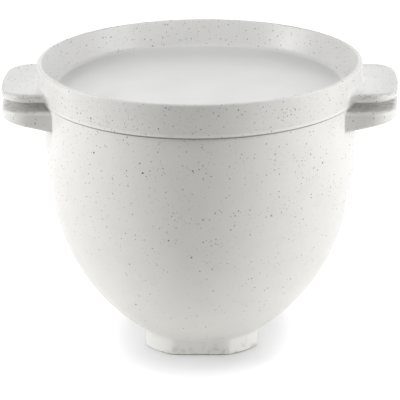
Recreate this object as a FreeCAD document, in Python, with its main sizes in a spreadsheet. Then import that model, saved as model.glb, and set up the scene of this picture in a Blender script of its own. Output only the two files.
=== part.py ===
import FreeCAD, Part

import math
import os

import Sketcher

# Stand mixer bowl with its tray lid, both in glazed ceramic
#
# Millimetres, +Z up, with the origin on the ground at the centre of the bowl's foot.
# The handle tabs lie along X. The bowl stands on its foot, and the lid rests on the
# bowl's rim with its tray open upwards.

ORIGIN = FreeCAD.Vector(0, 0, 0)
UP = FreeCAD.Vector(0, 0, 1)
QUARTER_TURN = math.pi / 2

# How far an edge may lie from the circle or line that it is looked up by
EDGE_SLACK = 0.05

# Driving dimensions: name, value in millimetres or degrees, meaning
DIMENSIONS = [
    # Bowl wall, from the foot up: a tight curve, a gentle one and a straight stretch
    ("bowl_radius", 113.8, "outside radius of the straight wall under the rim"),
    ("bowl_wall", 7.0, "thickness of the bowl's wall"),
    ("haunch_height", 96.3, "height where the tight curve becomes the gentle one"),
    ("gentle_height", 61.2, "height of the gentle curve above the haunch"),
    ("gentle_inset", 7.9, "how far the gentle curve draws the wall in at the haunch"),
    ("straight_height", 31.4, "height of the straight wall, up to the rim"),
    ("bowl_floor_inset", 12.4, "how far inside the foot's lugs the tight curve ends"),
    ("bowl_floor_blend", 24.0, "round between the floor and the wall inside"),
    ("rim_round", 1.0, "round on both edges of the rim"),
    # Lock foot: a round boss with four flats, hollow underneath
    ("foot_radius", 46.4, "radius of the foot's four lugs"),
    ("foot_height", 13.4, "height of the lugs, where the bowl's wall meets them"),
    ("foot_flat_depth", 4.8, "depth of each of the four flats, in from the lugs"),
    ("foot_corner_round", 8.0, "round between a lug and a flat, seen from below"),
    ("foot_blend", 4.0, "round where the foot leaves the bowl"),
    ("foot_edge_round", 1.5, "round on the foot's lower outer edge"),
    ("foot_base_width", 10.6, "width of the foot's base at a flat, outside the hollow"),
    ("foot_recess_depth", 6.0, "depth of the hollow under the foot"),
    # Handle tabs, with the same outline from above on the bowl and on the lid
    ("tab_length", 30.8, "how far a tab stands out from the bowl's wall at its middle"),
    ("tab_width", 87.6, "width of a tab along Y"),
    ("tab_end_radius", 237.0, "radius of a tab's bowed outer edge"),
    ("tab_corner_radius", 20.0, "radius of a tab's corners seen from above"),
    ("bowl_tab_drop", 2.1, "depth of the bowl tabs' top below the rim"),
    ("bowl_tab_tip", 7.9, "thickness of a bowl tab at the middle of its outer edge"),
    ("bowl_tab_slope", 13.5, "angle of a bowl tab's underside, in degrees"),
    ("bowl_tab_round", 2.6, "round on the edges of the bowl tabs"),
    ("bowl_root_round", 1.0, "round where the bowl tabs leave the wall"),
    ("tab_gap", 7.3, "finger gap between a bowl tab and the lid tab above it"),
    ("lid_tab_thickness", 6.1, "thickness of the lid tabs"),
    ("lid_tab_round", 2.4, "round on the edges of the lid tabs"),
    ("lid_root_round", 3.2, "round where the lid tabs leave the band"),
    # Lid: a shallow tray in a flared band, with a ring below that locates it in the bowl
    ("lid_height", 25.9, "height of the lid's lip above the rim"),
    ("lid_overhang", 1.4, "how far the band's foot stands out past the bowl's wall"),
    ("lid_flare", 3.7, "how much further out the lip is than the band's foot"),
    ("lip_width", 3.2, "width of the lid's lip"),
    ("lip_round", 1.4, "round on both edges of the lip"),
    ("band_foot_round", 1.6, "round on the band's lower outer edge"),
    ("tray_depth", 18.3, "depth of the tray below the lip"),
    ("tray_wall_lean", 28.5, "lean of the tray's wall from upright, in degrees"),
    ("tray_blend", 4.5, "round between the tray's floor and its wall"),
    ("lid_floor", 6.2, "thickness of the lid's floor"),
    ("ring_clearance", 1.5, "gap all round between the locating ring and the bowl's wall"),
    ("ring_width", 5.0, "width of the locating ring"),
    ("ring_depth", 5.0, "depth of the locating ring below the rim"),
]

# Levels and radii that follow from the driving dimensions and are used more than once
HAUNCH_RADIUS = "sizes.bowl_radius - sizes.gentle_inset"
BELLY_LEVEL = "sizes.haunch_height + sizes.gentle_height"
RIM_LEVEL = BELLY_LEVEL + " + sizes.straight_height"
FLOOR_RADIUS = "sizes.foot_radius - sizes.bowl_floor_inset"
FLAT_REACH = "sizes.foot_radius - sizes.foot_flat_depth"
TAB_REACH = "(sizes.bowl_radius + sizes.tab_length)"
BOWL_TAB_TOP = RIM_LEVEL + " - sizes.bowl_tab_drop"
BOWL_TAB_BASE = BOWL_TAB_TOP + " - sizes.bowl_tab_tip"
LID_TAB_TOP = BOWL_TAB_TOP + " + sizes.tab_gap + sizes.lid_tab_thickness"
BOWL_MOUTH = "sizes.bowl_radius - sizes.bowl_wall"
RING_OUTSIDE = BOWL_MOUTH + " - sizes.ring_clearance"
BAND_FOOT = "sizes.bowl_radius + sizes.lid_overhang"
LIP_RADIUS = BAND_FOOT + " + sizes.lid_flare"
TRAY_MOUTH = LIP_RADIUS + " - sizes.lip_width"
LIP_LEVEL = RIM_LEVEL + " + sizes.lid_height"
LID_ROOT_ROOM = "sizes.tab_gap - sizes.bowl_tab_drop - sizes.band_foot_round"
TRAY_LEVEL = LIP_LEVEL + " - sizes.tray_depth"


def fill_sheet(doc):
    sheet = doc.addObject("Spreadsheet::Sheet", "sizes")
    for row, (alias, value, meaning) in enumerate(DIMENSIONS, start=1):
        sheet.set(f"A{row}", meaning)
        sheet.set(f"B{row}", str(value))
        sheet.setAlias(f"B{row}", alias)
    doc.recompute()
    return sheet


class Sizes:
    """The driving dimensions as plain numbers, and what follows from them."""

    def __init__(self, sheet):
        for alias, _, _ in DIMENSIONS:
            setattr(self, alias, float(sheet.get(alias)))
        self.belly_height = self.haunch_height + self.gentle_height
        self.rim_height = self.belly_height + self.straight_height
        self.haunch_radius = self.bowl_radius - self.gentle_inset
        self.floor_radius = self.foot_radius - self.bowl_floor_inset
        self.foot_flat_reach = self.foot_radius - self.foot_flat_depth
        self.foot_recess_radius = self.foot_flat_reach - self.foot_base_width
        self.tab_reach = self.bowl_radius + self.tab_length
        self.bowl_tab_top = self.rim_height - self.bowl_tab_drop
        self.bowl_tab_base = self.bowl_tab_top - self.bowl_tab_tip
        self.bowl_mouth = self.bowl_radius - self.bowl_wall
        self.ring_outside = self.bowl_mouth - self.ring_clearance
        self.band_foot = self.bowl_radius + self.lid_overhang
        self.lip_radius = self.band_foot + self.lid_flare
        self.tray_mouth = self.lip_radius - self.lip_width
        self.lip_level = self.rim_height + self.lid_height
        self.tray_level = self.lip_level - self.tray_depth

        # The gentle curve leaves the straight wall smoothly and runs down to the haunch.
        # The tight curve leaves it smoothly there, meets the top of the foot's lugs and
        # ends inside the foot. Their centres lie on one line through the haunch, which
        # points inwards and up.
        inset = self.gentle_inset
        fall = self.gentle_height
        self.gentle_radius = (inset * inset + fall * fall) / (2 * inset)
        self.haunch_turn = math.asin(fall / self.gentle_radius)
        inwards = FreeCAD.Vector(-math.cos(self.haunch_turn), math.sin(self.haunch_turn), 0)
        haunch = FreeCAD.Vector(self.haunch_radius, self.haunch_height, 0)
        chord = FreeCAD.Vector(self.foot_radius, self.foot_height, 0) - haunch
        self.tight_radius = chord.dot(chord) / (2 * chord.dot(inwards))
        self.tight_centre = haunch + inwards * self.tight_radius
        self.bowl_base = self.tight_level(self.tight_radius)
        self.bowl_floor = self.tight_level(self.tight_radius - self.bowl_wall)

    def tight_level(self, radius):
        """Height where a tight curve of this radius ends, outside or inside the wall."""
        reach = self.floor_radius - self.tight_centre.x
        return self.tight_centre.y - math.sqrt(radius**2 - reach**2)

    def wall_radius(self, height):
        """Outside radius of the bowl's wall, from the haunch up."""
        fall = max(self.belly_height - height, 0)
        return self.bowl_radius - self.gentle_radius + math.sqrt(self.gentle_radius**2 - fall**2)

    def band_radius(self, height):
        """Outside radius of the lid's flared band."""
        share = (height - self.rim_height) / self.lid_height
        return self.band_foot + share * self.lid_flare


class Outline:
    """Draws in a sketch, and binds each of its sizes to the sheet."""

    def __init__(self, sketch):
        self.sketch = sketch

    def line(self, start, end):
        segment = Part.LineSegment(FreeCAD.Vector(*start, 0), FreeCAD.Vector(*end, 0))
        return self.sketch.addGeometry(segment, False)

    def arc(self, centre, radius, start_angle, end_angle):
        circle = Part.Circle(FreeCAD.Vector(*centre, 0), UP, radius)
        arc = Part.ArcOfCircle(circle, start_angle, end_angle)
        return self.sketch.addGeometry(arc, False)

    def circle(self, radius):
        return self.sketch.addGeometry(Part.Circle(ORIGIN, UP, radius), False)

    def mark(self, place):
        """A construction point."""
        return self.sketch.addGeometry(Part.Point(FreeCAD.Vector(*place, 0)), True)

    def polygon(self, corners):
        ends = corners[1:] + corners[:1]
        return [self.line(start, end) for start, end in zip(corners, ends)]

    def rule(self, kind, *items):
        self.sketch.addConstraint(Sketcher.Constraint(kind, *items))

    def close(self, loop, kind="Coincident"):
        """Ties each item's end to the next one's start, round the whole loop."""
        for one, following in zip(loop, loop[1:] + loop[:1]):
            self.rule(kind, one, 2, following, 1)

    def size(self, name, kind, items, expression, value):
        constraint = Sketcher.Constraint(kind, *items, value)
        index = self.sketch.addConstraint(constraint)
        self.sketch.renameConstraint(index, name)
        self.sketch.setExpression(f"Constraints.{name}", expression)

    def reach(self, name, item, point, expression, value):
        """Distance of a point to the right of the sketch's origin."""
        self.size(name, "DistanceX", [-1, 1, item, point], expression, value)

    def level(self, name, item, point, expression, value):
        """Distance of a point above the sketch's origin."""
        self.size(name, "DistanceY", [-1, 1, item, point], expression, value)


def new_body(doc, name):
    body = doc.addObject("PartDesign::Body", name)
    body.Label = name
    return body


def new_sketch(body, name, role, lift=None):
    """A sketch on one of the body's own origin planes, raised by an expression."""
    plane = next(item for item in body.Origin.OriginFeatures if item.Role == role)
    sketch = body.newObject("Sketcher::SketchObject", name)
    sketch.AttachmentSupport = [(plane, "")]
    sketch.MapMode = "FlatFace"
    if lift:
        sketch.setExpression("AttachmentOffset.Base.z", lift)
    return sketch


def pad(body, name, sketch, length, downwards=False):
    feature = body.newObject("PartDesign::Pad", name)
    feature.Profile = sketch
    feature.Reversed = downwards
    feature.setExpression("Length", length)


def full_turn(body, kind, name, sketch):
    """A half section turned about the upright axis, added or cut away."""
    feature = body.newObject(kind, name)
    feature.Profile = sketch
    feature.ReferenceAxis = (sketch, ["V_Axis"])
    feature.Angle = 360


def add_turned(body, name, sketch):
    full_turn(body, "PartDesign::Revolution", name, sketch)


def cut_turned(body, name, sketch):
    full_turn(body, "PartDesign::Groove", name, sketch)


def round_edges(body, name, radius, is_wanted):
    """Rounds those edges of the body so far that pass a test."""
    body.Document.recompute()
    edges = enumerate(body.Tip.Shape.Edges, start=1)
    names = [f"Edge{number}" for number, edge in edges if is_wanted(edge)]
    if not names:
        raise RuntimeError(f"no edge found for {name}")
    base = body.Tip
    feature = body.newObject("PartDesign::Fillet", name)
    feature.Base = (base, names)
    feature.setExpression("Radius", radius)


def stations(edge):
    """Distance from the axis and height, at five points along an edge."""
    return [(math.hypot(point.x, point.y), point.z) for point in edge.discretize(5)]


def is_upright(edge):
    start, end = edge.discretize(2)
    return math.hypot(end.x - start.x, end.y - start.y) < EDGE_SLACK


def is_beside_xz(edge, distance):
    """An edge that stays within a distance of the XZ plane."""
    return all(abs(point.y) < distance + EDGE_SLACK for point in edge.discretize(5))


def is_circle(edge, radius, height):
    near = [abs(reach - radius) + abs(level - height) < EDGE_SLACK for reach, level in stations(edge)]
    return all(near)


def is_level_edge(edge, height):
    """A circle about the axis at a height, whatever its radius."""
    reach = stations(edge)[0][0]
    return reach > EDGE_SLACK and is_circle(edge, reach, height)


def draw_tabs(sketch, sizes):
    """Both tabs from above, as one bar right across the object with bowed ends."""
    draw = Outline(sketch)
    half = sizes.tab_width / 2
    corner = sizes.tab_corner_radius
    end = sizes.tab_end_radius
    inset = end - sizes.tab_reach
    corner_y = half - corner
    turn = math.asin(corner_y / (end - corner))
    corner_x = (end - corner) * math.cos(turn) - inset

    back = draw.line((corner_x, half), (-corner_x, half))
    back_left = draw.arc((-corner_x, corner_y), corner, QUARTER_TURN, 2 * QUARTER_TURN - turn)
    left = draw.arc((inset, 0), end, 2 * QUARTER_TURN - turn, 2 * QUARTER_TURN + turn)
    front_left = draw.arc((-corner_x, -corner_y), corner, 2 * QUARTER_TURN + turn, 3 * QUARTER_TURN)
    front = draw.line((-corner_x, -half), (corner_x, -half))
    front_right = draw.arc((corner_x, -corner_y), corner, 3 * QUARTER_TURN, 4 * QUARTER_TURN - turn)
    right = draw.arc((-inset, 0), end, -turn, turn)
    back_right = draw.arc((corner_x, corner_y), corner, turn, QUARTER_TURN)

    loop = [back, back_left, left, front_left, front, front_right, right, back_right]
    draw.close(loop, "Tangent")
    for side in (back, front):
        draw.rule("Horizontal", side)
    for bow in (left, right):
        draw.rule("PointOnObject", bow, 3, -1)
    for other in (front_left, front_right, back_right):
        draw.rule("Equal", back_left, other)
    draw.rule("Equal", left, right)
    draw.size("corner_radius", "Radius", [back_left], "sizes.tab_corner_radius", corner)
    draw.size("end_radius", "Radius", [right], "sizes.tab_end_radius", end)
    draw.level("back_side", back, 1, "sizes.tab_width / 2", half)
    draw.size("front_side", "DistanceY", [front, 1, -1, 1], "sizes.tab_width / 2", half)
    bow_inset = f"sizes.tab_end_radius - {TAB_REACH}"
    draw.reach("left_bow", left, 3, bow_inset, inset)
    draw.size("right_bow", "DistanceX", [right, 3, -1, 1], bow_inset, inset)


def draw_under_tabs(sketch, sizes):
    """Half section of what is turned away under the bowl's tabs: all below a flat cone.

    It runs from half the tabs' reach, inside the bowl, to a tenth past their ends.
    """
    draw = Outline(sketch)
    inner = sizes.tab_reach / 2
    past = sizes.tab_reach / 10
    lean = math.tan(math.radians(sizes.bowl_tab_slope))
    low = sizes.bowl_tab_base - inner * lean
    high = sizes.bowl_tab_base + past * lean
    outer = sizes.tab_reach + past

    cone, side, base = draw.polygon([(inner, low), (outer, high), (outer, low)])
    draw.close([cone, side, base])
    draw.rule("Vertical", side)
    draw.rule("Horizontal", base)
    rise = f"{TAB_REACH} * tan(sizes.bowl_tab_slope * 1 deg)"
    draw.reach("inner", cone, 1, f"{TAB_REACH} / 2", inner)
    draw.reach("outer", cone, 2, f"{TAB_REACH} + {TAB_REACH} / 10", outer)
    draw.level("low", cone, 1, f"{BOWL_TAB_BASE} - {rise} / 2", low)
    draw.level("high", cone, 2, f"{BOWL_TAB_BASE} + {rise} / 10", high)


def draw_bowl_outside(sketch, sizes):
    """Half section of the bowl as if it were solid. Its two curves are edges 1 and 2."""
    draw = Outline(sketch)
    radius = sizes.bowl_radius
    turn = -sizes.haunch_turn
    centre = sizes.tight_centre
    base_level = sizes.bowl_base
    base_turn = -math.acos((sizes.floor_radius - centre.x) / sizes.tight_radius)
    gentle_centre = (radius - sizes.gentle_radius, sizes.belly_height)

    tight = draw.arc((centre.x, centre.y), sizes.tight_radius, base_turn, turn)
    gentle = draw.arc(gentle_centre, sizes.gentle_radius, turn, 0)
    wall = draw.line((radius, sizes.belly_height), (radius, sizes.rim_height))
    top = draw.line((radius, sizes.rim_height), (0, sizes.rim_height))
    axis = draw.line((0, sizes.rim_height), (0, base_level))
    base = draw.line((0, base_level), (sizes.floor_radius, base_level))
    lug_top = draw.mark((sizes.foot_radius, sizes.foot_height))

    draw.rule("Tangent", tight, 2, gentle, 1)
    draw.rule("Tangent", gentle, 2, wall, 1)
    draw.rule("Coincident", wall, 2, top, 1)
    draw.rule("Coincident", top, 2, axis, 1)
    draw.rule("Coincident", axis, 2, base, 1)
    draw.rule("Coincident", base, 2, tight, 1)
    draw.rule("PointOnObject", base, 1, -2)
    draw.rule("PointOnObject", lug_top, 1, tight)
    for item in (base, top):
        draw.rule("Horizontal", item)
    for item in (wall, axis):
        draw.rule("Vertical", item)
    draw.reach("base_reach", base, 2, FLOOR_RADIUS, sizes.floor_radius)
    draw.reach("lug_reach", lug_top, 1, "sizes.foot_radius", sizes.foot_radius)
    draw.level("lug_level", lug_top, 1, "sizes.foot_height", sizes.foot_height)
    draw.reach("haunch_reach", gentle, 1, HAUNCH_RADIUS, sizes.haunch_radius)
    draw.level("haunch_level", gentle, 1, "sizes.haunch_height", sizes.haunch_height)
    draw.reach("wall_reach", wall, 1, "sizes.bowl_radius", radius)
    draw.level("belly_level", wall, 1, BELLY_LEVEL, sizes.belly_height)
    draw.level("rim_level", wall, 2, RIM_LEVEL, sizes.rim_height)


def draw_bowl_inside(sketch, outside, sizes):
    """Half section of the hollow. Its curves share the outside curves' centres."""
    sketch.addExternal(outside.Name, "Edge1")
    sketch.addExternal(outside.Name, "Edge2")
    outside_tight = -3
    outside_gentle = -4

    draw = Outline(sketch)
    radius = sizes.bowl_mouth
    floor = sizes.bowl_floor
    floor_edge = sizes.floor_radius
    turn = -sizes.haunch_turn
    centre = sizes.tight_centre
    tight_radius = sizes.tight_radius - sizes.bowl_wall
    gentle_radius = sizes.gentle_radius - sizes.bowl_wall
    gentle_centre = (radius - gentle_radius, sizes.belly_height)
    floor_turn = -math.acos((floor_edge - centre.x) / tight_radius)

    tight = draw.arc((centre.x, centre.y), tight_radius, floor_turn, turn)
    gentle = draw.arc(gentle_centre, gentle_radius, turn, 0)
    wall = draw.line((radius, sizes.belly_height), (radius, sizes.rim_height))
    top = draw.line((radius, sizes.rim_height), (0, sizes.rim_height))
    axis = draw.line((0, sizes.rim_height), (0, floor))
    base = draw.line((0, floor), (floor_edge, floor))

    draw.rule("Coincident", tight, 3, outside_tight, 3)
    draw.rule("Coincident", gentle, 3, outside_gentle, 3)
    draw.rule("Tangent", tight, 2, gentle, 1)
    draw.rule("Tangent", gentle, 2, wall, 1)
    draw.rule("Coincident", wall, 2, top, 1)
    draw.rule("Coincident", top, 2, axis, 1)
    draw.rule("Coincident", axis, 2, base, 1)
    draw.rule("Coincident", base, 2, tight, 1)
    draw.rule("PointOnObject", base, 1, -2)
    for item in (base, top):
        draw.rule("Horizontal", item)
    for item in (wall, axis):
        draw.rule("Vertical", item)
    draw.reach("wall_reach", wall, 1, BOWL_MOUTH, radius)
    draw.level("rim_level", wall, 2, RIM_LEVEL, sizes.rim_height)
    draw.reach("floor_reach", base, 2, FLOOR_RADIUS, floor_edge)


def draw_foot(sketch, sizes):
    """The foot from below: a circle with four flats, which leave four lugs."""
    draw = Outline(sketch)
    radius = sizes.foot_radius
    flat = sizes.foot_flat_reach
    turn = math.acos(flat / radius)
    half = radius * math.sin(turn)

    lugs = []
    for quarter in range(4):
        start = quarter * QUARTER_TURN
        lugs.append(draw.arc((0, 0), radius, start + turn, start + QUARTER_TURN - turn))
    back = draw.line((half, flat), (-half, flat))
    left = draw.line((-flat, half), (-flat, -half))
    front = draw.line((-half, -flat), (half, -flat))
    right = draw.line((flat, -half), (flat, half))

    draw.close([lugs[0], back, lugs[1], left, lugs[2], front, lugs[3], right])
    for lug in lugs:
        draw.rule("Coincident", lug, 3, -1, 1)
    for item in (back, front):
        draw.rule("Horizontal", item)
    for item in (left, right):
        draw.rule("Vertical", item)
    draw.size("lug_radius", "Radius", [lugs[0]], "sizes.foot_radius", radius)
    draw.level("back_flat", back, 1, FLAT_REACH, flat)
    draw.size("front_flat", "DistanceY", [front, 1, -1, 1], FLAT_REACH, flat)
    draw.size("left_flat", "DistanceX", [left, 1, -1, 1], FLAT_REACH, flat)
    draw.reach("right_flat", right, 1, FLAT_REACH, flat)


def draw_foot_recess(sketch, sizes):
    draw = Outline(sketch)
    edge = draw.circle(sizes.foot_recess_radius)
    draw.rule("Coincident", edge, 3, -1, 1)
    recess = FLAT_REACH + " - sizes.foot_base_width"
    draw.size("recess", "Radius", [edge], recess, sizes.foot_recess_radius)


def draw_lid_outside(sketch, sizes):
    """Half section of the lid as if its tray were full, with the locating ring below."""
    draw = Outline(sketch)
    under = sizes.tray_level - sizes.lid_floor
    ring_inside = sizes.ring_outside - sizes.ring_width
    ring_level = sizes.rim_height - sizes.ring_depth
    corners = [
        (0, under),
        (ring_inside, under),
        (ring_inside, ring_level),
        (sizes.ring_outside, ring_level),
        (sizes.ring_outside, sizes.rim_height),
        (sizes.band_foot, sizes.rim_height),
        (sizes.lip_radius, sizes.lip_level),
        (0, sizes.lip_level),
    ]
    sides = draw.polygon(corners)
    underside, ring_in, ring_base, ring_out, seat, band, top, axis = sides

    draw.close(sides)
    draw.rule("PointOnObject", underside, 1, -2)
    for item in (underside, ring_base, seat, top):
        draw.rule("Horizontal", item)
    for item in (ring_in, ring_out, axis):
        draw.rule("Vertical", item)
    draw.level("under", underside, 1, f"{TRAY_LEVEL} - sizes.lid_floor", under)
    draw.reach("ring_inside", ring_in, 1, f"{RING_OUTSIDE} - sizes.ring_width", ring_inside)
    draw.level("ring_level", ring_base, 1, f"{RIM_LEVEL} - sizes.ring_depth", ring_level)
    draw.reach("ring_outside", ring_out, 1, RING_OUTSIDE, sizes.ring_outside)
    draw.level("seat", seat, 1, RIM_LEVEL, sizes.rim_height)
    draw.reach("band_foot", band, 1, BAND_FOOT, sizes.band_foot)
    draw.reach("lip", band, 2, LIP_RADIUS, sizes.lip_radius)
    draw.level("lip_level", band, 2, LIP_LEVEL, sizes.lip_level)


def draw_tray(sketch, sizes):
    """Half section of the tray's hollow, which narrows towards its floor."""
    draw = Outline(sketch)
    lean = math.tan(math.radians(sizes.tray_wall_lean))
    floor_edge = sizes.tray_mouth - sizes.tray_depth * lean
    corners = [
        (0, sizes.tray_level),
        (floor_edge, sizes.tray_level),
        (sizes.tray_mouth, sizes.lip_level),
        (0, sizes.lip_level),
    ]
    sides = draw.polygon(corners)
    floor, wall, top, axis = sides

    draw.close(sides)
    draw.rule("PointOnObject", floor, 1, -2)
    draw.rule("Horizontal", floor)
    draw.rule("Horizontal", top)
    draw.rule("Vertical", axis)
    floor_reach = f"{TRAY_MOUTH} - sizes.tray_depth * tan(sizes.tray_wall_lean * 1 deg)"
    draw.level("tray_level", floor, 1, TRAY_LEVEL, sizes.tray_level)
    draw.reach("floor_edge", floor, 2, floor_reach, floor_edge)
    draw.reach("mouth", wall, 2, TRAY_MOUTH, sizes.tray_mouth)
    draw.level("lip_level", wall, 2, LIP_LEVEL, sizes.lip_level)


def make_bowl(doc, sizes):
    """The bowl, with its tabs and foot: blanks first, then rounds, then the hollows."""
    body = new_body(doc, "bowl")

    # A bar right across, whose middle goes when the bowl is hollowed out
    tabs = new_sketch(body, "bowl_tabs", "XY_Plane", BOWL_TAB_TOP)
    draw_tabs(tabs, sizes)
    bar_depth = f"sizes.bowl_tab_tip + {TAB_REACH} / 2 * tan(sizes.bowl_tab_slope * 1 deg)"
    pad(body, "bowl_tab_bar", tabs, bar_depth, downwards=True)
    under_tabs = new_sketch(body, "under_tabs", "YZ_Plane")
    draw_under_tabs(under_tabs, sizes)
    cut_turned(body, "tab_undersides", under_tabs)

    outside = new_sketch(body, "bowl_outside", "YZ_Plane")
    draw_bowl_outside(outside, sizes)
    add_turned(body, "bowl_blank", outside)

    # The foot runs up well inside the blank, so that it meets all of its underside
    foot = new_sketch(body, "foot_outline", "XY_Plane")
    draw_foot(foot, sizes)
    pad(body, "foot_blank", foot, "sizes.haunch_height / 2")

    def is_foot_corner(edge):
        return is_upright(edge) and abs(stations(edge)[2][0] - sizes.foot_radius) < EDGE_SLACK

    def is_foot_join(edge):
        beside = [
            sizes.foot_flat_reach - EDGE_SLACK < reach < sizes.foot_radius + EDGE_SLACK
            and level > sizes.foot_edge_round
            for reach, level in stations(edge)
        ]
        return all(beside) and not is_upright(edge)

    def is_tab_edge(edge):
        reach, _ = stations(edge)[2]
        return reach > sizes.bowl_radius + sizes.bowl_root_round and not is_upright(edge)

    def is_tab_root(edge):
        on_wall = [
            sizes.haunch_height < level < sizes.bowl_tab_top + EDGE_SLACK
            and abs(reach - sizes.wall_radius(level)) < EDGE_SLACK
            for reach, level in stations(edge)
        ]
        return all(on_wall) and is_beside_xz(edge, sizes.tab_width / 2)

    round_edges(body, "foot_corners", "sizes.foot_corner_round", is_foot_corner)
    round_edges(body, "foot_join", "sizes.foot_blend", is_foot_join)
    round_edges(body, "bowl_tab_edges", "sizes.bowl_tab_round", is_tab_edge)
    round_edges(body, "bowl_tab_roots", "sizes.bowl_root_round", is_tab_root)

    inside = new_sketch(body, "bowl_inside", "YZ_Plane")
    draw_bowl_inside(inside, outside, sizes)
    cut_turned(body, "bowl_hollow", inside)
    recess = new_sketch(body, "foot_recess", "XY_Plane")
    draw_foot_recess(recess, sizes)
    underside = body.newObject("PartDesign::Pocket", "foot_underside")
    underside.Profile = recess
    underside.Reversed = True
    underside.setExpression("Length", "sizes.foot_recess_depth")

    def is_rim_edge(edge):
        outer = is_circle(edge, sizes.bowl_radius, sizes.rim_height)
        return outer or is_circle(edge, sizes.bowl_mouth, sizes.rim_height)

    def is_foot_base(edge):
        on_ground = [
            reach > sizes.foot_flat_reach - EDGE_SLACK and level < EDGE_SLACK
            for reach, level in stations(edge)
        ]
        return all(on_ground)

    def is_floor_edge(edge):
        return is_level_edge(edge, sizes.bowl_floor)

    round_edges(body, "rim_edges", "sizes.rim_round", is_rim_edge)
    round_edges(body, "foot_base", "sizes.foot_edge_round", is_foot_base)
    round_edges(body, "floor_blend", "sizes.bowl_floor_blend", is_floor_edge)
    return body


def make_lid(doc, sizes):
    """The lid: its tabs and band first, then rounds, then the hollow of the tray."""
    body = new_body(doc, "lid")
    tabs = new_sketch(body, "lid_tabs", "XY_Plane", LID_TAB_TOP)
    draw_tabs(tabs, sizes)
    pad(body, "lid_tab_bar", tabs, "sizes.lid_tab_thickness", downwards=True)
    outside = new_sketch(body, "lid_outside", "YZ_Plane")
    draw_lid_outside(outside, sizes)
    add_turned(body, "lid_blank", outside)

    def is_tab_edge(edge):
        reach, _ = stations(edge)[2]
        return reach > sizes.lip_radius + EDGE_SLACK and not is_upright(edge)

    def is_tab_root(edge):
        on_band = [
            abs(reach - sizes.band_radius(level)) < EDGE_SLACK
            and sizes.rim_height + EDGE_SLACK < level < sizes.lip_level - EDGE_SLACK
            for reach, level in stations(edge)
        ]
        return all(on_band)

    round_edges(body, "lid_tab_edges", "sizes.lid_tab_round", is_tab_edge)
    root_round = f"min(sizes.lid_root_round; 0.95 * ({LID_ROOT_ROOM}))"
    round_edges(body, "lid_tab_roots", root_round, is_tab_root)

    tray = new_sketch(body, "tray_section", "YZ_Plane")
    draw_tray(tray, sizes)
    cut_turned(body, "tray_hollow", tray)

    def is_lip_edge(edge):
        outer = is_circle(edge, sizes.lip_radius, sizes.lip_level)
        return outer or is_circle(edge, sizes.tray_mouth, sizes.lip_level)

    def is_band_foot(edge):
        return is_circle(edge, sizes.band_foot, sizes.rim_height)

    def is_tray_edge(edge):
        return is_level_edge(edge, sizes.tray_level)

    round_edges(body, "lip_edges", "sizes.lip_round", is_lip_edge)
    round_edges(body, "band_foot_edge", "sizes.band_foot_round", is_band_foot)
    round_edges(body, "tray_floor_edge", "sizes.tray_blend", is_tray_edge)
    return body


def check(doc, bodies):
    """Stops before anything is written if the document or a piece has failed."""
    failed = [item.Name for item in doc.Objects if {"Invalid", "Error"} & set(item.State)]
    if failed:
        raise RuntimeError(f"failed objects: {failed}")
    for body in bodies:
        shape = body.Shape
        if shape.isNull() or not shape.isValid() or len(shape.Solids) != 1:
            raise RuntimeError(f"{body.Label} is not one valid solid")


def main():
    doc = FreeCAD.newDocument("mixer_bowl")
    sizes = Sizes(fill_sheet(doc))
    bodies = [make_bowl(doc, sizes), make_lid(doc, sizes)]
    doc.recompute()
    check(doc, bodies)
    os.makedirs("parts", exist_ok=True)
    for body in bodies:
        body.Shape.exportStep(f"parts/{body.Label}.step")
        print(body.Label, round(body.Shape.Volume), "cubic millimetres")


main()
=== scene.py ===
import math

import bpy
from mathutils import Matrix, Vector


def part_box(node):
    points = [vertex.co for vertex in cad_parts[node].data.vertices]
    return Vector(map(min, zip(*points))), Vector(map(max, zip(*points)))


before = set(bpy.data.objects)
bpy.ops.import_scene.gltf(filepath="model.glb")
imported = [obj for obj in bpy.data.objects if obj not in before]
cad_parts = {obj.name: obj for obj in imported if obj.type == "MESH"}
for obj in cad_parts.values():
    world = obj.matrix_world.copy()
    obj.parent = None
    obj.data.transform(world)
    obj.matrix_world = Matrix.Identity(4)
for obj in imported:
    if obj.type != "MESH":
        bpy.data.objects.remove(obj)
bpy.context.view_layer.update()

# Stand mixer bowl with its tray lid, in an off-white satin glaze with fine specks.
# Metres, in the CAD frame: +Z up, the bowl's axis through the origin, tabs along X.

MM = 0.001


def add_object(name, data):
    thing = bpy.data.objects.new(name, data)
    bpy.context.scene.collection.objects.link(thing)
    return thing


# Camera: how it sees the centre of the lid's lip, in pixels and degrees
PICTURE = 400
SENSOR = 36.0
FOCAL_PIXELS = 3000.0
METRES_PER_PIXEL = 0.73 * MM
ELEVATION = math.radians(15.345)
AZIMUTH = math.radians(1.98)
ROLL = math.radians(0.55)
LIP_AT = (199.7, 59.5)


def make_camera():
    lip = Vector((0, 0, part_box("lid")[1].z))
    across = math.cos(ELEVATION)
    back = Vector((math.sin(AZIMUTH) * across, -math.cos(AZIMUTH) * across, math.sin(ELEVATION)))
    right = Vector((math.cos(AZIMUTH), math.sin(AZIMUTH), 0))
    basis = Matrix((right, back.cross(right), back)).transposed()
    roll = Matrix.Rotation(-ROLL, 3, "Z")
    pitch = Matrix.Rotation(-math.atan((PICTURE / 2 - LIP_AT[1]) / FOCAL_PIXELS), 3, "X")
    yaw = Matrix.Rotation(math.atan((LIP_AT[0] - PICTURE / 2) / FOCAL_PIXELS), 3, "Y")
    data = bpy.data.cameras.new("camera")
    data.sensor_width = SENSOR
    data.lens = SENSOR * FOCAL_PIXELS / PICTURE
    camera = add_object("camera", data)
    place = Matrix.Translation(lip + back * FOCAL_PIXELS * METRES_PER_PIXEL)
    camera.matrix_world = place @ (basis @ roll @ pitch @ yaw).to_4x4()
    bpy.context.scene.camera = camera


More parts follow.
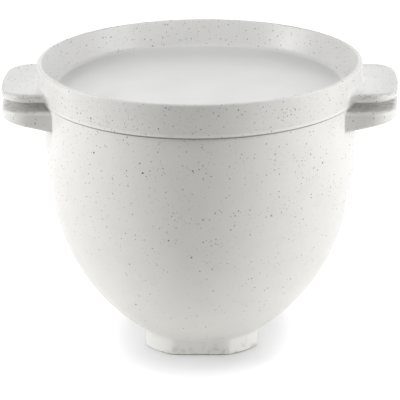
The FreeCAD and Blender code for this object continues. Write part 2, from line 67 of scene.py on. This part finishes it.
class Graph:
    """The node tree of a material or a world, with short ways to add nodes and join them."""

    def __init__(self, owner):
        owner.use_nodes = True
        self.owner = owner
        self.tree = owner.node_tree
        self.tree.nodes.clear()

    def add(self, kind, inputs=None, **settings):
        node = self.tree.nodes.new(kind)
        for name, value in settings.items():
            setattr(node, name, value)
        for name, value in (inputs or {}).items():
            self.put(node.inputs[name], value)
        return node

    def put(self, socket, value):
        if isinstance(value, bpy.types.NodeSocket):
            self.tree.links.new(value, socket)
        else:
            socket.default_value = value

    def math(self, operation, *values):
        node = self.add("ShaderNodeMath", operation=operation)
        for socket, value in zip(node.inputs, values):
            self.put(socket, value)
        return node.outputs[0]

    def product(self, first, *others):
        for other in others:
            first = self.math("MULTIPLY", first, other)
        return first

    def largest(self, first, *others):
        for other in others:
            first = self.math("MAXIMUM", first, other)
        return first

    def vector(self, operation, one, other):
        node = self.add("ShaderNodeVectorMath", operation=operation)
        self.put(node.inputs[0], one)
        self.put(node.inputs["Scale"] if operation == "SCALE" else node.inputs[1], other)
        return node.outputs[0]

    def length(self, place):
        return self.add("ShaderNodeVectorMath", {0: place}, operation="LENGTH").outputs["Value"]

    def ramp(self, value, low, high, start=0.0, end=1.0):
        """A smooth step from start at low to end at high."""
        span = {"Value": value, "From Min": low, "From Max": high, "To Min": start, "To Max": end}
        return self.add("ShaderNodeMapRange", span, interpolation_type="SMOOTHSTEP").outputs[0]

    def mix(self, share, one, other):
        node = self.add("ShaderNodeMix", data_type="RGBA")
        self.put(node.inputs[0], share)
        self.put(node.inputs[6], one)
        self.put(node.inputs[7], other)
        return node.outputs[2]

    def noise(self, place, size, detail=2.0, roughness=0.5):
        """Soft noise, with features of about this size in millimetres."""
        inputs = {"Vector": place, "Scale": 1 / size, "Detail": detail, "Roughness": roughness}
        return self.add("ShaderNodeTexNoise", inputs).outputs


# Specks: spacing and largest radius in millimetres, share of places that have one, and
# how dark they are
FINE_SPECKS = (1.6, 0.33, 0.70, 0.75)
SPECKS = (2.8, 0.58, 0.80, 1.0)
LARGE_SPECKS = (9.0, 0.85, 0.60, 1.0)
SMALLEST_SPECK = 0.4
FAINTEST_SPECK = 0.5
SPECK_EDGE = (1.1, 0.8)

GLAZE = (0.835, 0.830, 0.815, 1)
GLAZE_THIN = (0.775, 0.768, 0.735, 1)
# Plain glaze without specks, a little lighter as painted light on the foot and the tray floor
PLAIN_GLAZE_PAINTED_LIGHT = (0.850, 0.850, 0.838, 1)
PLAIN_SHARE = 0.9
SPECK_DARK = (0.060, 0.052, 0.045, 1)
SPECK_BROWN = (0.165, 0.135, 0.105, 1)
# Bare clay; at the rim, the seam and the bowl's tab tops in the gap it also paints shade
BARE_CLAY_AND_SHADE = (0.440, 0.405, 0.350, 1)
# Painted highlight along the band's lower edge and along the lip
PAINTED_HIGHLIGHT_TONE = (0.905, 0.905, 0.890, 1)

GLAZE_IOR = 1.5
SPECK_ROUGHER = 0.15
CLAY_ROUGHNESS = 0.85

# Heights in the bump, in millimetres
WAVE_HEIGHT = 0.10
PEEL_HEIGHT = 0.012
SPECK_PIT = -0.02

# Noises: size in millimetres, detail and roughness
WOBBLE = (0.8, 1.0)
CLUSTERS = (34.0, 3.0, 0.6)
DEPTH = (17.0, 4.0, 0.55)
PEEL = (2.3, 2.0)
WAVES = (26.0, 1.0)
RAGGED = (3.0, 3.0)
WEAR = (7.0, 4.0)
STREAKS = (5.0, 4.0, 0.6)

# Ramps of those noises: from and to, and the values there
CROWDING = (0.30, 0.68, 0.45, 1.2)
THIN_PATCHES = (0.42, 0.78, 0.0, 0.42)
SHEEN = (0.3, 0.7, 0.28, 0.36)
WORN_PATCHES = (0.50, 0.68, 0.0, 0.45)
# Streaks: worn glaze on the lid's tabs, painted warm shade on the bowl's tab tops
WEAR_AND_SHADE_STREAKS = (0.42, 0.64, 0.0, 0.5)

WOBBLE_CENTRE = (0.5, 0.5, 0.5)
WOBBLE_REACH = 0.7
STREAK_SQUASH = (1.0, 1.0, 7.0)

# The bowl's zones in millimetres, up its axis or away from it: where each starts to show
# and where it shows in full
FOOT_PLAIN = (15.0, 11.5)
FOOT_WORN = (14.0, 1.0)
FOOT_BARE = (0.6, 0.0)
FOOT_RAGGED_HEIGHT = (1.6, -0.1)
# Bowl's tab tops, where streaks paint warm shade in the gap under the lid's tabs
TAB_TOP = (185.6, 186.6)
TAB_AWAY = (116.0, 120.0)
# Rim top: bare clay that also paints the seam's shade
RIM_BARE_AND_SHADE = (188.10, 188.40)
BOWL_CROWDING = (10.0, 185.0, 0.22, 0.80)

# The lid's zones, in the same way
TRAY_FLOOR = (198.2, 196.9)
TRAY_AWAY = (108.0, 106.0)
LID_TAB_LOW = (196.9, 197.8)
LID_TAB_HIGH = (200.0, 199.3)
LID_TAB_AWAY = (119.5, 121.5)
# Band's foot: bare clay that also paints the seam's shade
SEAM_BARE_AND_SHADE = (189.72, 189.42)
# Painted highlights: along the band's lower edge, and along the lip
SEAM_HIGHLIGHT = (192.2, 191.2)
SEAM_HIGHLIGHT_AWAY = (100.0, 110.0)
LIP_HIGHLIGHT = (213.3, 214.3, 0.0, 0.5)
LID_CROWDING = 1.2
# The bowl has no painted highlight
NO_HIGHLIGHT = 0.0


def specks(graph, place, crowding, layer):
    """Where one layer of specks lies, from 0 to its strength, and a random value for each."""
    spacing, radius, share, strength = layer
    cells = graph.add("ShaderNodeTexVoronoi", {"Vector": place, "Scale": 1 / spacing})
    chance = graph.add("ShaderNodeSeparateColor", {"Color": cells.outputs["Color"]}).outputs
    largest = radius / spacing
    smallest = SMALLEST_SPECK * largest
    size = graph.math("MULTIPLY_ADD", chance[0], largest - smallest, smallest)
    spot = graph.ramp(graph.math("DIVIDE", cells.outputs["Distance"], size), *SPECK_EDGE)
    there = graph.math("LESS_THAN", chance[1], graph.product(crowding, share))
    faintest = FAINTEST_SPECK * strength
    depth = graph.math("MULTIPLY_ADD", chance[2], strength - faintest, faintest)
    return graph.product(spot, there, depth), chance[0]


def make_glaze(name, zones):
    """Speckled satin glaze. zones says where it is plain (lightened as painted light), bare clay
    (which at the seam and in the tabs' gap paints shade), lit by painted highlights, or thick with
    specks.
    """
    graph = Graph(bpy.data.materials.new(name))
    object_place = graph.add("ShaderNodeTexCoord").outputs["Object"]
    place = graph.vector("SCALE", object_place, 1 / MM)
    axes = graph.add("ShaderNodeSeparateXYZ", {"Vector": place}).outputs
    plain_and_painted_light, bare_and_shade, painted_highlight, thick = zones(graph, place, axes)

    # The specks' outlines are uneven, and they lie in loose clusters
    wobble = graph.vector("SUBTRACT", graph.noise(place, *WOBBLE)["Color"], WOBBLE_CENTRE)
    uneven = graph.vector("ADD", place, graph.vector("SCALE", wobble, WOBBLE_REACH))
    clusters = graph.noise(place, *CLUSTERS)["Fac"]
    crowding = graph.product(graph.ramp(clusters, *CROWDING), thick)
    fine, _ = specks(graph, uneven, crowding, FINE_SPECKS)
    middle, tone = specks(graph, uneven, crowding, SPECKS)
    large, _ = specks(graph, uneven, crowding, LARGE_SPECKS)
    speckled = graph.math("SUBTRACT", 1.0, plain_and_painted_light)
    all_specks = graph.product(graph.largest(fine, middle, large), speckled)

    # The glaze varies a little in depth, and runs thinner in patches
    depth = graph.noise(place, *DEPTH)["Fac"]
    glaze = graph.mix(graph.ramp(depth, *THIN_PATCHES), GLAZE, GLAZE_THIN)
    # Plain glaze without specks, lightened a little as painted light
    glaze = graph.mix(graph.product(plain_and_painted_light, PLAIN_SHARE), glaze, PLAIN_GLAZE_PAINTED_LIGHT)
    # Painted highlights along the band's lower edge and along the lip
    glaze = graph.mix(painted_highlight, glaze, PAINTED_HIGHLIGHT_TONE)
    speck = graph.mix(tone, SPECK_DARK, SPECK_BROWN)
    # Bare clay; at the rim, the seam and the bowl's tab tops it also paints shade
    colour = graph.mix(bare_and_shade, graph.mix(all_specks, glaze, speck), BARE_CLAY_AND_SHADE)

    # Satin, rougher at the specks and on bare clay, also where that bare clay paints shade
    sheen = graph.math("MULTIPLY_ADD", all_specks, SPECK_ROUGHER, graph.ramp(depth, *SHEEN))
    sheen = graph.largest(sheen, graph.product(bare_and_shade, CLAY_ROUGHNESS))

    # A slight orange peel over a faint waviness, with a pit at each speck
    height = graph.product(graph.noise(place, *WAVES)["Fac"], WAVE_HEIGHT)
    height = graph.math("MULTIPLY_ADD", graph.noise(place, *PEEL)["Fac"], PEEL_HEIGHT, height)
    height = graph.math("MULTIPLY_ADD", all_specks, SPECK_PIT, height)
    bump = graph.add("ShaderNodeBump", {"Height": height, "Distance": MM, "Strength": 1.0})

    shader = graph.add("ShaderNodeBsdfPrincipled", {
        "Base Color": colour,
        "Roughness": sheen,
        "Normal": bump.outputs[0],
        "IOR": GLAZE_IOR,
    })
    graph.add("ShaderNodeOutputMaterial", {"Surface": shader.outputs[0]})
    return graph.owner


def from_axis(graph, axes):
    """How far a place lies from the bowl's axis, in millimetres."""
    flat = graph.add("ShaderNodeCombineXYZ", {"X": axes[0], "Y": axes[1]}).outputs[0]
    return graph.length(flat)


def streaks(graph, place):
    """Level streaks, from 0 to half bare: thin glaze along the lid tab's edges, and painted warm
    shade on the bowl's tab tops in the gap under the lid's tabs.
    """
    level = graph.vector("MULTIPLY", place, STREAK_SQUASH)
    return graph.ramp(graph.noise(level, *STREAKS)["Fac"], *WEAR_AND_SHADE_STREAKS)


def bowl_zones(graph, place, axes):
    """Plain worn foot lightened as painted light, bare clay at its edge, bare clay at the rim that
    also paints the seam's shade, streaks of painted warm shade on the tab tops in the gap, and
    fewer specks lower down.
    """
    up = axes[2]
    ragged = graph.math("MULTIPLY_ADD", graph.noise(place, *RAGGED)["Fac"], *FOOT_RAGGED_HEIGHT)
    standing = graph.ramp(graph.math("SUBTRACT", up, ragged), *FOOT_BARE)
    wear = graph.ramp(graph.noise(place, *WEAR)["Fac"], *WORN_PATCHES)
    worn = graph.product(wear, graph.ramp(up, *FOOT_WORN))
    # Streaks on the tab tops paint warm shade in the gap under the lid's tabs
    tabs = graph.ramp(from_axis(graph, axes), *TAB_AWAY)
    tab_wear_and_shade = graph.product(streaks(graph, place), graph.ramp(up, *TAB_TOP), tabs)
    # Bare clay at the rim also paints the seam's shade
    bare_and_shade = graph.largest(standing, worn, tab_wear_and_shade, graph.ramp(up, *RIM_BARE_AND_SHADE))
    # The plain foot is lightened as painted light
    return graph.ramp(up, *FOOT_PLAIN), bare_and_shade, NO_HIGHLIGHT, graph.ramp(up, *BOWL_CROWDING)


def lid_zones(graph, place, axes):
    """Plain tray floor lightened as painted light, rubbed tab edges, bare clay at the seam that
    also paints its shade, and painted highlights along the band's lower edge and the lip.
    """
    up = axes[2]
    away = from_axis(graph, axes)
    # The plain tray floor is lightened as painted light
    plain_and_painted_light = graph.product(graph.ramp(away, *TRAY_AWAY), graph.ramp(up, *TRAY_FLOOR))
    edge = graph.product(graph.ramp(up, *LID_TAB_LOW), graph.ramp(up, *LID_TAB_HIGH))
    tab_wear_and_shade = graph.product(edge, graph.ramp(away, *LID_TAB_AWAY), streaks(graph, place))
    # Bare clay at the band's foot also paints the seam's shade
    bare_and_shade = graph.largest(tab_wear_and_shade, graph.ramp(up, *SEAM_BARE_AND_SHADE))
    # Painted highlights along the band's lower edge and along the lip
    seam_highlight = graph.product(graph.ramp(up, *SEAM_HIGHLIGHT), graph.ramp(away, *SEAM_HIGHLIGHT_AWAY))
    painted_highlight = graph.largest(seam_highlight, graph.ramp(up, *LIP_HIGHLIGHT))
    return plain_and_painted_light, bare_and_shade, painted_highlight, LID_CROWDING


def dress(node, material):
    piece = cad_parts[node]
    for place in piece.material_slots:
        place.material = material


WHITE = (1.0, 1.0, 1.0, 1)

# The table, in metres. It ends a short way in front of the bowl, which keeps the middle of
# the bowl's front dark. As seen, it has its own tone, and away from the foot's shadow, in an
# oval, it is lifted to white
FLOOR_SIDE = 24.0
FLOOR_FRONT = -0.45
FLOOR_TONE = (0.970, 0.965, 0.930, 1)
FLOOR_SEEN = (0.730, 0.730, 0.748, 1)
FOOT_OVAL = (1.6, 1.0, 1.0)
NEAR_LIFT = (0.045, 0.158, 0.14, 0.8)
FAR_LIFT = (0.3, 1.2, 0.0, 0.2)


def seen(graph):
    """1 for camera, glossy and transmission rays, and 0 for the rest."""
    path = graph.add("ShaderNodeLightPath").outputs
    mirror = graph.largest(path["Is Glossy Ray"], path["Is Transmission Ray"])
    return graph.largest(path["Is Camera Ray"], mirror)


def make_floor():
    side = FLOOR_SIDE / 2
    front = FLOOR_FRONT
    corners = [(-side, front, 0), (side, front, 0), (side, side, 0), (-side, side, 0)]
    mesh = bpy.data.meshes.new("floor")
    mesh.from_pydata(corners, [], [(0, 1, 2, 3)])
    floor = add_object("floor", mesh)
    graph = Graph(bpy.data.materials.new("floor"))
    view = seen(graph)
    matt = graph.add("ShaderNodeBsdfDiffuse", {"Color": graph.mix(view, FLOOR_TONE, FLOOR_SEEN)})
    place = graph.add("ShaderNodeTexCoord").outputs["Object"]
    away = graph.length(graph.vector("MULTIPLY", place, FOOT_OVAL))
    lift = graph.math("ADD", graph.ramp(away, *NEAR_LIFT), graph.ramp(away, *FAR_LIFT))
    glow = graph.add("ShaderNodeEmission", {"Color": WHITE, "Strength": graph.product(view, lift)})
    both = graph.add("ShaderNodeAddShader", {0: matt.outputs[0], 1: glow.outputs[0]})
    graph.add("ShaderNodeOutputMaterial", {"Surface": both.outputs[0]})
    mesh.materials.append(graph.owner)


def make_world():
    """White to the camera and in reflections, and no other light."""
    graph = Graph(bpy.data.worlds.new("studio"))
    bpy.context.scene.world = graph.owner
    back = graph.add("ShaderNodeBackground", {"Color": WHITE, "Strength": seen(graph)})
    graph.add("ShaderNodeOutputWorld", {"Surface": back.outputs[0]})


# Soft boxes around the bowl: azimuth from the front and elevation in degrees, distance,
# width and height in metres, and watts
AIM = (0, 0, 0.12)
SOFT_BOXES = {
    "left_box": (-78, 30, 1.6, 0.7, 0.7, 11.2),
    "left_high": (-62, 60, 1.6, 0.6, 0.6, 2.2),
    "left_low": (-84, 4, 1.2, 0.5, 0.3, 2.5),
    "left_front": (-50, 3, 1.2, 0.6, 0.35, 1.35),
    "right_box": (75, 30, 1.6, 0.7, 0.7, 6.9),
    "right_side": (86, 14, 1.6, 0.9, 0.9, 5.0),
    "right_high": (62, 60, 1.6, 0.6, 0.6, 3.8),
    "right_low": (80, 4, 1.2, 0.5, 0.3, 2.0),
    "right_front": (48, 3, 1.2, 0.6, 0.35, 1.2),
    "back": (180, 20, 1.6, 0.9, 0.9, 2.6),
}


def make_lamps():
    for name, (azimuth, elevation, distance, width, height, watts) in SOFT_BOXES.items():
        turn, rise = math.radians(azimuth), math.radians(elevation)
        flat = math.cos(rise)
        away = Vector((math.sin(turn) * flat, -math.cos(turn) * flat, math.sin(rise)))
        data = bpy.data.lights.new(name, "AREA")
        data.shape = "RECTANGLE"
        data.size = width
        data.size_y = height
        data.energy = watts
        lamp = add_object(name, data)
        lamp.location = Vector(AIM) + away * distance
        lamp.rotation_euler = away.to_track_quat("Z", "Y").to_euler()


make_camera()
dress("bowl", make_glaze("bowl_glaze", bowl_zones))
dress("lid", make_glaze("lid_glaze", lid_zones))
make_floor()
make_world()
make_lamps()
bpy.context.scene.view_settings.view_transform = "Standard"
